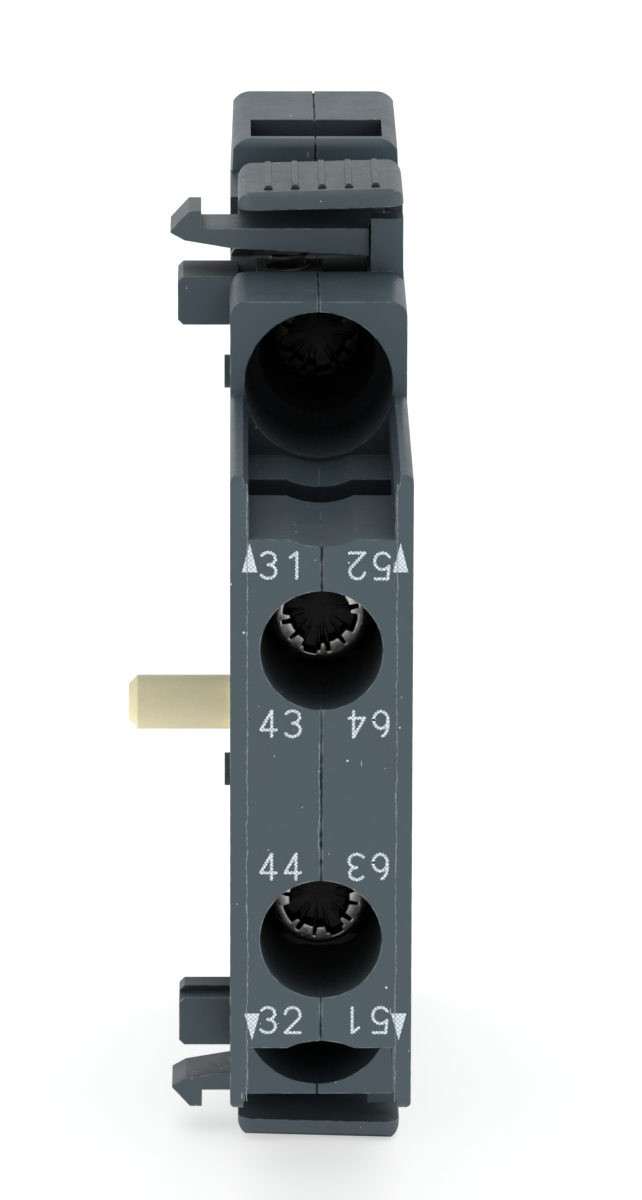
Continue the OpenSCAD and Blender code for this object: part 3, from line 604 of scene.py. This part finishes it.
class CONTACT_OT_dress_metal(bpy.types.Operator):
    """Give washers, strips, rivets and springs their metals"""

    bl_idname = "contact.dress_metal"
    bl_label = "Dress the metal pieces"

    def execute(self, context):
        metal = context.scene.metal_finish
        rough = metal.roughness
        # The washers take the dark nickel of the outer screws.
        washer = worked_metal("washer_nickel", metal.dark_nickel, rough + 0.05, 0.0001, 0.3, 0.00006)
        give(nodes_like("washer_"), washer)
        strips = nodes_like("terminal_") + ["no_bridge", "nc_bridge"]
        give(strips, worked_metal("strip_brass", metal.brass, rough, 0.00014, 0.25, 0.00005))
        tips = ["no_bridge_tips", "nc_bridge_tips", "no_fixed_tips", "nc_fixed_tips"]
        give(tips, worked_metal("tip_silver", metal.silver, rough - 0.05, 0.0002, 0.2, 0.00008))
        springs = [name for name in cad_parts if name.endswith("_spring")]
        # Near-black spring wire: painted shade.
        wire = worked_metal("spring_wire_painted_shade", metal.wire, rough + 0.2, 0.00006, 0.2, 0.00003, metallic=0.6)
        give(springs, wire)
        return {"FINISHED"}


class CONTACT_OT_fit_springs(bpy.types.Operator):
    """Copy the springs, which shorten when the actuator or a latch moves, onto the bodies they ride on; the
    copies keep their shape
    """

    bl_idname = "contact.fit_springs"
    bl_label = "Fit the springs"

    # Joint, body, direction, place of the fixed end and travel in millimetres, for each spring
    SPRINGS = {
        "return_spring": ("actuator_slide", "housing", (0, 1, 0), 35.5, 4.0),
        "no_contact_spring": ("closing_bridge_slide", "slider", (0, 1, 0), 2.8, 1.0),
        "upper_latch_spring": ("upper_latch_press", "housing", (0, 0, 1), 22.36, 0.62),
        "lower_latch_spring": ("lower_latch_press", "housing", (0, 0, 1), -22.36, 0.62),
    }

    def execute(self, context):
        for node, (joint, body, axis, fixed, travel) in self.SPRINGS.items():
            piece = bpy.data.objects.new(f"{node}_coil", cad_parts[node].data.copy())
            context.scene.collection.objects.link(piece)
            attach(piece, body)
            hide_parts(node)
            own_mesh(piece)
        return {"FINISHED"}


class CONTACT_OT_turn_screws(bpy.types.Operator):
    """Turn the four terminal screws with star recess, ticks and thread"""

    bl_idname = "contact.turn_screws"
    bl_label = "Turn the screws"

    # Angle of the slot of each screw, in degrees
    TURNS = {"31": 12, "32": 40, "43": 75, "44": 117}
    # The two inner screws keep the bright nickel; the outer two get the dark nickel as painted shade.
    BRIGHT_SCREWS = ("43", "44")
    SIDES = 180
    CREASE = math.radians(28)
    # Half angles of the slot, the arms and the ticks, and the places of the ticks, in degrees
    SLOT_HALF, ARM_HALF, TICK_HALF = 10, 16, 3.2
    TICKS = (28, 55)
    # Radius of the recess at the lands, arms, ticks and slot, and its depth, in millimetres
    LAND, ARM, TICK, SLOT = 1.66, 2.05, 2.16, 2.27
    RECESS = 1.45
    # Width of the bright lip, narrowing of the recess at its foot, and faces across it that take the
    # painted shade
    LIP, SLOPE, DARK_STEPS = 0.05, 0.12, 3
    # Radius and depth below the head's front of the turned rim, in millimetres
    RIM = ((2.34, 0.0), (2.48, 0.06), (2.64, 0.22), (2.73, 0.5), (2.73, 2.2))
    # Root and crest radius, pitch and chamfer at the tip of the thread, in millimetres
    ROOT, CREST, PITCH, TIP = 1.27, 1.45, 0.5, 0.2

    def execute(self, context):
        metal = context.scene.metal_finish
        rough = metal.roughness
        bright = worked_metal("screw_nickel", metal.plated, rough, 0.00016, 0.4, 0.00008, reach=0.0005)
        # Dark nickel on the outer screws: painted shade.
        dull = worked_metal("screw_painted_shade", metal.dark_nickel, rough, 0.00012, 0.4, 0.00008, metallic=0.7)
        recess_shade = worked_metal("screw_recess_shade", metal.recess, 0.5, 0.00012, 0.4, 0.00005, metallic=0.4)
        for mark, turn in self.TURNS.items():
            node = f"screw_{mark}"
            verts, faces = self.turned(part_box(node), turn)
            screw_material = bright if mark in self.BRIGHT_SCREWS else dull
            piece = new_piece(f"terminal_{node}", verts, faces, screw_material, node)
            piece.data.shade_smooth()
            piece.data.set_sharp_from_angle(angle=self.CREASE)
            piece.data.materials.append(recess_shade)
            # The faces at the foot of the recess get the near-black recess colour: painted shade.
            around = len(faces) // self.SIDES
            for i, face in enumerate(piece.data.polygons):
                face.material_index = int(i % around < self.DARK_STEPS)
            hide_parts(node)
        return {"FINISHED"}

    def recess_edge(self, angle):
        """Radius of the recess at an angle from the slot, in degrees."""
        if min(angle % 180, 180 - angle % 180) < self.SLOT_HALF:
            return self.SLOT
        across = angle % 90
        if min(across, 90 - across) < self.ARM_HALF:
            return self.ARM
        if any(abs(across - tick) < self.TICK_HALF for tick in self.TICKS):
            return self.TICK
        return self.LAND

    def turned(self, box, turn):
        """Closed turned body, from the recess over the head and down the threaded shank."""
        low, high = box
        x, z = (low.x + high.x) / 2, (low.z + high.z) / 2
        length = (high.y - low.y) / MM
        rings = []
        for k in range(self.SIDES):
            edge = self.recess_edge(360 * k / self.SIDES - turn)
            line = [(0.0, self.RECESS), (edge * 0.5, self.RECESS), (edge - self.SLOPE, self.RECESS * 0.8)]
            line += [(edge, self.LIP), (edge + self.LIP, 0.0), *self.RIM]
            depth = self.RIM[-1][1]
            while depth < length - self.PITCH:
                line += [(self.CREST, depth), (self.ROOT, depth + self.PITCH / 2)]
                depth += self.PITCH
            line += [(self.CREST, depth), (self.ROOT - self.TIP, length), (0.0, length)]
            rings.append(line)
        verts, faces = [], []
        for k, line in enumerate(rings):
            a = math.radians(360 * k / self.SIDES)
            for r, depth in line:
                verts.append((x + r * math.cos(a) * MM, low.y + depth * MM, z + r * math.sin(a) * MM))
        steps = len(rings[0])
        for k in range(self.SIDES):
            a, b = k * steps, (k + 1) % self.SIDES * steps
            faces.append((0, b + 1, a + 1))
            faces += [(a + i, b + i, b + i + 1, a + i + 1) for i in range(1, steps - 2)]
            faces.append((a + steps - 2, b + steps - 2, steps - 1))
        keep = {0, steps - 1} | {k * steps + i for k in range(self.SIDES) for i in range(1, steps - 1)}
        order = {old: new for new, old in enumerate(sorted(keep))}
        return [verts[i] for i in sorted(keep)], [tuple(order[i] for i in face) for face in faces]


class CONTACT_OT_print_markings(bpy.types.Operator):
    """Mark the terminal numbers and triangles on the front face"""

    bl_idname = "contact.print_markings"
    bl_label = "Print the markings"

    # Text, distance of its left end from the mating side and height of its middle, in millimetres
    UPRIGHT = (("31", 1.68, 13.05), ("43", 1.68, 4.10), ("44", 1.68, -4.05), ("32", 1.68, -12.88))
    TURNED = (("52", 6.50, 13.02), ("64", 6.50, 4.07), ("63", 6.50, -4.07), ("51", 6.50, -12.88))
    # Apex and height of the base, in millimetres
    TRIANGLES = (
        ((1.07, 14.30), 12.66),
        ((9.29, 14.30), 12.66),
        ((1.21, -14.06), -12.50),
        ((9.31, -14.06), -12.50),
    )
    TRIANGLE_HALF = 0.42

    def execute(self, context):
        sizes = context.scene.marking_sizes
        ink = marking_ink("marking_ink", sizes.ink)
        for texts, turned in ((self.UPRIGHT, False), (self.TURNED, True)):
            for text, left, middle in texts:
                verts, faces = [], []
                for i, stroke in enumerate(number_strokes(text, left * MM, middle * MM, sizes, turned)):
                    ribbon_mesh(stroke, sizes.film * (1 + 0.1 * i), sizes, verts, faces)
                new_piece(f"number_{text}", verts, faces, ink, "housing")
        verts, faces = [], []
        half = self.TRIANGLE_HALF * MM
        for (x, z), base in self.TRIANGLES:
            triangle_mesh((x * MM, z * MM), base * MM, half, sizes, verts, faces)
        new_piece("terminal_triangles", verts, faces, ink, "housing")
        return {"FINISHED"}


def aim(obj, target):
    """Turns a lamp or camera towards a point."""
    obj.rotation_euler = (Vector(target) - obj.location).to_track_quat("-Z", "Y").to_euler()


def softbox(name, place, target, size, strength):
    """Square area lamp."""
    lamp = bpy.data.lights.new(name, "AREA")
    lamp.shape = "SQUARE"
    lamp.size = size
    lamp.energy = strength
    obj = bpy.data.objects.new(name, lamp)
    bpy.context.scene.collection.objects.link(obj)
    obj.location = place
    aim(obj, target)


def seen_directly(wires):
    """1 for camera, mirror and glass rays, 0 for the light that falls on the object."""
    path = wires.node("ShaderNodeLightPath").outputs
    first = wires.math("MAXIMUM", path["Is Camera Ray"], path["Is Glossy Ray"])
    return wires.math("MAXIMUM", first, path["Is Transmission Ray"])


class CONTACT_OT_add_flash(bpy.types.Operator):
    """Add the thin flash lines that the mould left on the front"""

    bl_idname = "contact.add_flash"
    bl_label = "Add the flash lines"

    # Distance from the mating side, lower and upper end, width and height, in millimetres
    LINES = (
        (0.94, -17.6, 17.6, 0.046, 0.030),
        (9.12, -17.6, 17.6, 0.042, 0.030),
        (4.89, -3.2, 3.0, 0.04, 0.03),
    )
    STEP = 0.11
    SEED = 7

    def execute(self, context):
        finish = context.scene.housing_finish
        # The ridges take a light colour that stands in for the highlight along them: painted highlight.
        plastic = moulded_plastic(
            "flash_highlight_plastic", finish.flash_highlight_color, finish, cloudiness=0.3, dust=0.9, wear=0.5, reach=0.0003
        )
        random.seed(self.SEED)
        for i, line in enumerate(self.LINES):
            verts, faces = self.ridge(*line)
            new_piece(f"flash_line_{i + 1}", verts, faces, plastic, "housing")
        return {"FINISHED"}

    def ridge(self, x, low, high, width, rise):
        """Thin ragged ridge, three points across, as a closed strip."""
        verts, faces = [], []
        count = round((high - low) / self.STEP)
        drift = 0.0
        for i in range(count + 1):
            z = low + (high - low) * i / count
            drift = 0.8 * drift + random.uniform(-0.02, 0.02)
            half = width * random.uniform(0.35, 1.0)
            top = rise * random.uniform(0.3, 1.0)
            for dx, dy in ((-half, 0.0), (0.0, -top), (half, 0.0)):
                verts.append(((x + drift + dx) * MM, FRONT + dy * MM, z * MM))
        for i in range(count):
            a, b = 3 * i, 3 * i + 3
            faces += [(a, a + 1, b + 1, b), (a + 1, a + 2, b + 2, b + 1), (a + 2, a, b, b + 2)]
        last = 3 * count
        faces += [(0, 2, 1), (last, last + 1, last + 2)]
        return verts, faces


class CONTACT_OT_set_studio(bpy.types.Operator):
    """Set the floor, the soft light and the camera"""

    bl_idname = "contact.set_studio"
    bl_label = "Set the studio"

    CAMERA_PLACE = (0.25, -469.4, 129.6)
    CAMERA_TARGET = (4.96, -19.4, 11.1)
    CAMERA_ROLL = math.radians(0.15)

    def execute(self, context):
        sizes = context.scene.studio_sizes
        self.lay_floor(sizes)
        self.light_world(context.scene, sizes)
        softbox("top_softbox", (0.0, -0.05, 0.75), (0.0, 0.0, 0.0), 0.9, sizes.top_light)
        softbox("left_softbox", (-0.60, -0.45, 0.10), (0.0, 0.0, 0.0), 0.5, sizes.side_light)
        softbox("right_softbox", (0.60, -0.45, 0.10), (0.0, 0.0, 0.0), 0.5, sizes.side_light)
        self.set_camera(context.scene, sizes)
        context.scene.view_settings.view_transform = "Standard"
        return {"FINISHED"}

    def lay_floor(self, sizes):
        half = sizes.floor_span / 2
        mesh = bpy.data.meshes.new("floor")
        corners = [(-half, -half), (half, -half), (half, half), (-half, half)]
        mesh.from_pydata([(x, y, FLOOR) for x, y in corners], [], [(0, 1, 2, 3)])
        floor = bpy.data.objects.new("floor", mesh)
        bpy.context.scene.collection.objects.link(floor)
        material = bpy.data.materials.new("floor_white")
        material.use_nodes = True
        material.node_tree.nodes.clear()
        wires = Wiring(material.node_tree)
        matt = wires.node("ShaderNodeBsdfDiffuse", {"Color": (0.80, 0.80, 0.80, 1.0)})
        lift = wires.node("ShaderNodeMapRange", {0: seen_directly(wires), 3: sizes.floor_glow, 4: 0.55})
        glow = wires.node("ShaderNodeEmission", {"Strength": lift.outputs[0]})
        both = wires.node("ShaderNodeAddShader", {0: matt.outputs[0], 1: glow.outputs[0]})
        wires.node("ShaderNodeOutputMaterial", {"Surface": both.outputs[0]})
        mesh.materials.append(material)

    def light_world(self, scene, sizes):
        world = bpy.data.worlds.new("studio_air")
        world.use_nodes = True
        world.node_tree.nodes.clear()
        wires = Wiring(world.node_tree)
        around = wires.node("ShaderNodeTexCoord").outputs["Generated"]
        ahead = wires.node("ShaderNodeSeparateXYZ", {0: around})
        spread = wires.node(
            "ShaderNodeMapRange",
            {0: ahead.outputs["Y"], 1: -1.0, 2: -0.6, 3: sizes.front_ambient, 4: sizes.ambient},
        )
        soft = wires.node("ShaderNodeBackground", {"Strength": spread.outputs[0]})
        seen = wires.node("ShaderNodeBackground", {"Strength": 1.0})
        for part in (soft, seen):
            part.inputs["Color"].default_value = (1.0, 1.0, 1.0, 1.0)
        sorts = {0: seen_directly(wires), 1: soft.outputs[0], 2: seen.outputs[0]}
        mixed = wires.node("ShaderNodeMixShader", sorts)
        wires.node("ShaderNodeOutputWorld", {"Surface": mixed.outputs[0]})
        scene.world = world

    def set_camera(self, scene, sizes):
        data = bpy.data.cameras.new("camera")
        data.lens = sizes.lens
        data.sensor_width = 36.0
        data.clip_start = 0.01
        data.clip_end = 10.0
        camera = bpy.data.objects.new("camera", data)
        scene.collection.objects.link(camera)
        camera.location = Vector(self.CAMERA_PLACE) * MM
        aim(camera, Vector(self.CAMERA_TARGET) * MM)
        camera.rotation_euler.rotate_axis("Z", self.CAMERA_ROLL)
        scene.camera = camera


class CONTACT_PT_panel(bpy.types.Panel):
    """Lists the steps and their sizes"""

    bl_idname = "CONTACT_PT_panel"
    bl_label = "Contact block"
    bl_space_type = "VIEW_3D"
    bl_region_type = "UI"
    bl_category = "Contact block"

    def draw(self, context):
        for step in STEPS:
            self.layout.operator(step.bl_idname)
        for name in GROUPS:
            box = self.layout.box()
            box.label(text=name.replace("_", " ").capitalize())
            group = getattr(context.scene, name)
            for key in group.__annotations__:
                box.prop(group, key)


STEPS = (
    CONTACT_OT_set_studio,
    CONTACT_OT_shared_effects,
    CONTACT_OT_dress_housing,
    CONTACT_OT_dress_latches,
    CONTACT_OT_dress_actuator,
    CONTACT_OT_dress_metal,
    CONTACT_OT_fit_springs,
    CONTACT_OT_turn_screws,
    CONTACT_OT_print_markings,
    CONTACT_OT_add_flash,
)

GROUPS = {
    "housing_finish": HousingFinish,
    "pin_finish": PinFinish,
    "metal_finish": MetalFinish,
    "marking_sizes": MarkingSizes,
    "studio_sizes": StudioSizes,
}


def register():
    for kind in (*GROUPS.values(), *STEPS, CONTACT_PT_panel):
        bpy.utils.register_class(kind)
    for name, kind in GROUPS.items():
        setattr(bpy.types.Scene, name, PointerProperty(type=kind))


def unregister():
    for name in GROUPS:
        delattr(bpy.types.Scene, name)
    for kind in reversed((*GROUPS.values(), *STEPS, CONTACT_PT_panel)):
        bpy.utils.unregister_class(kind)


def main():
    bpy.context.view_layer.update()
    register()
    for step in STEPS:
        area, name = step.bl_idname.split(".")
        getattr(getattr(bpy.ops, area), name)()


if __name__ == "__main__":
    main()
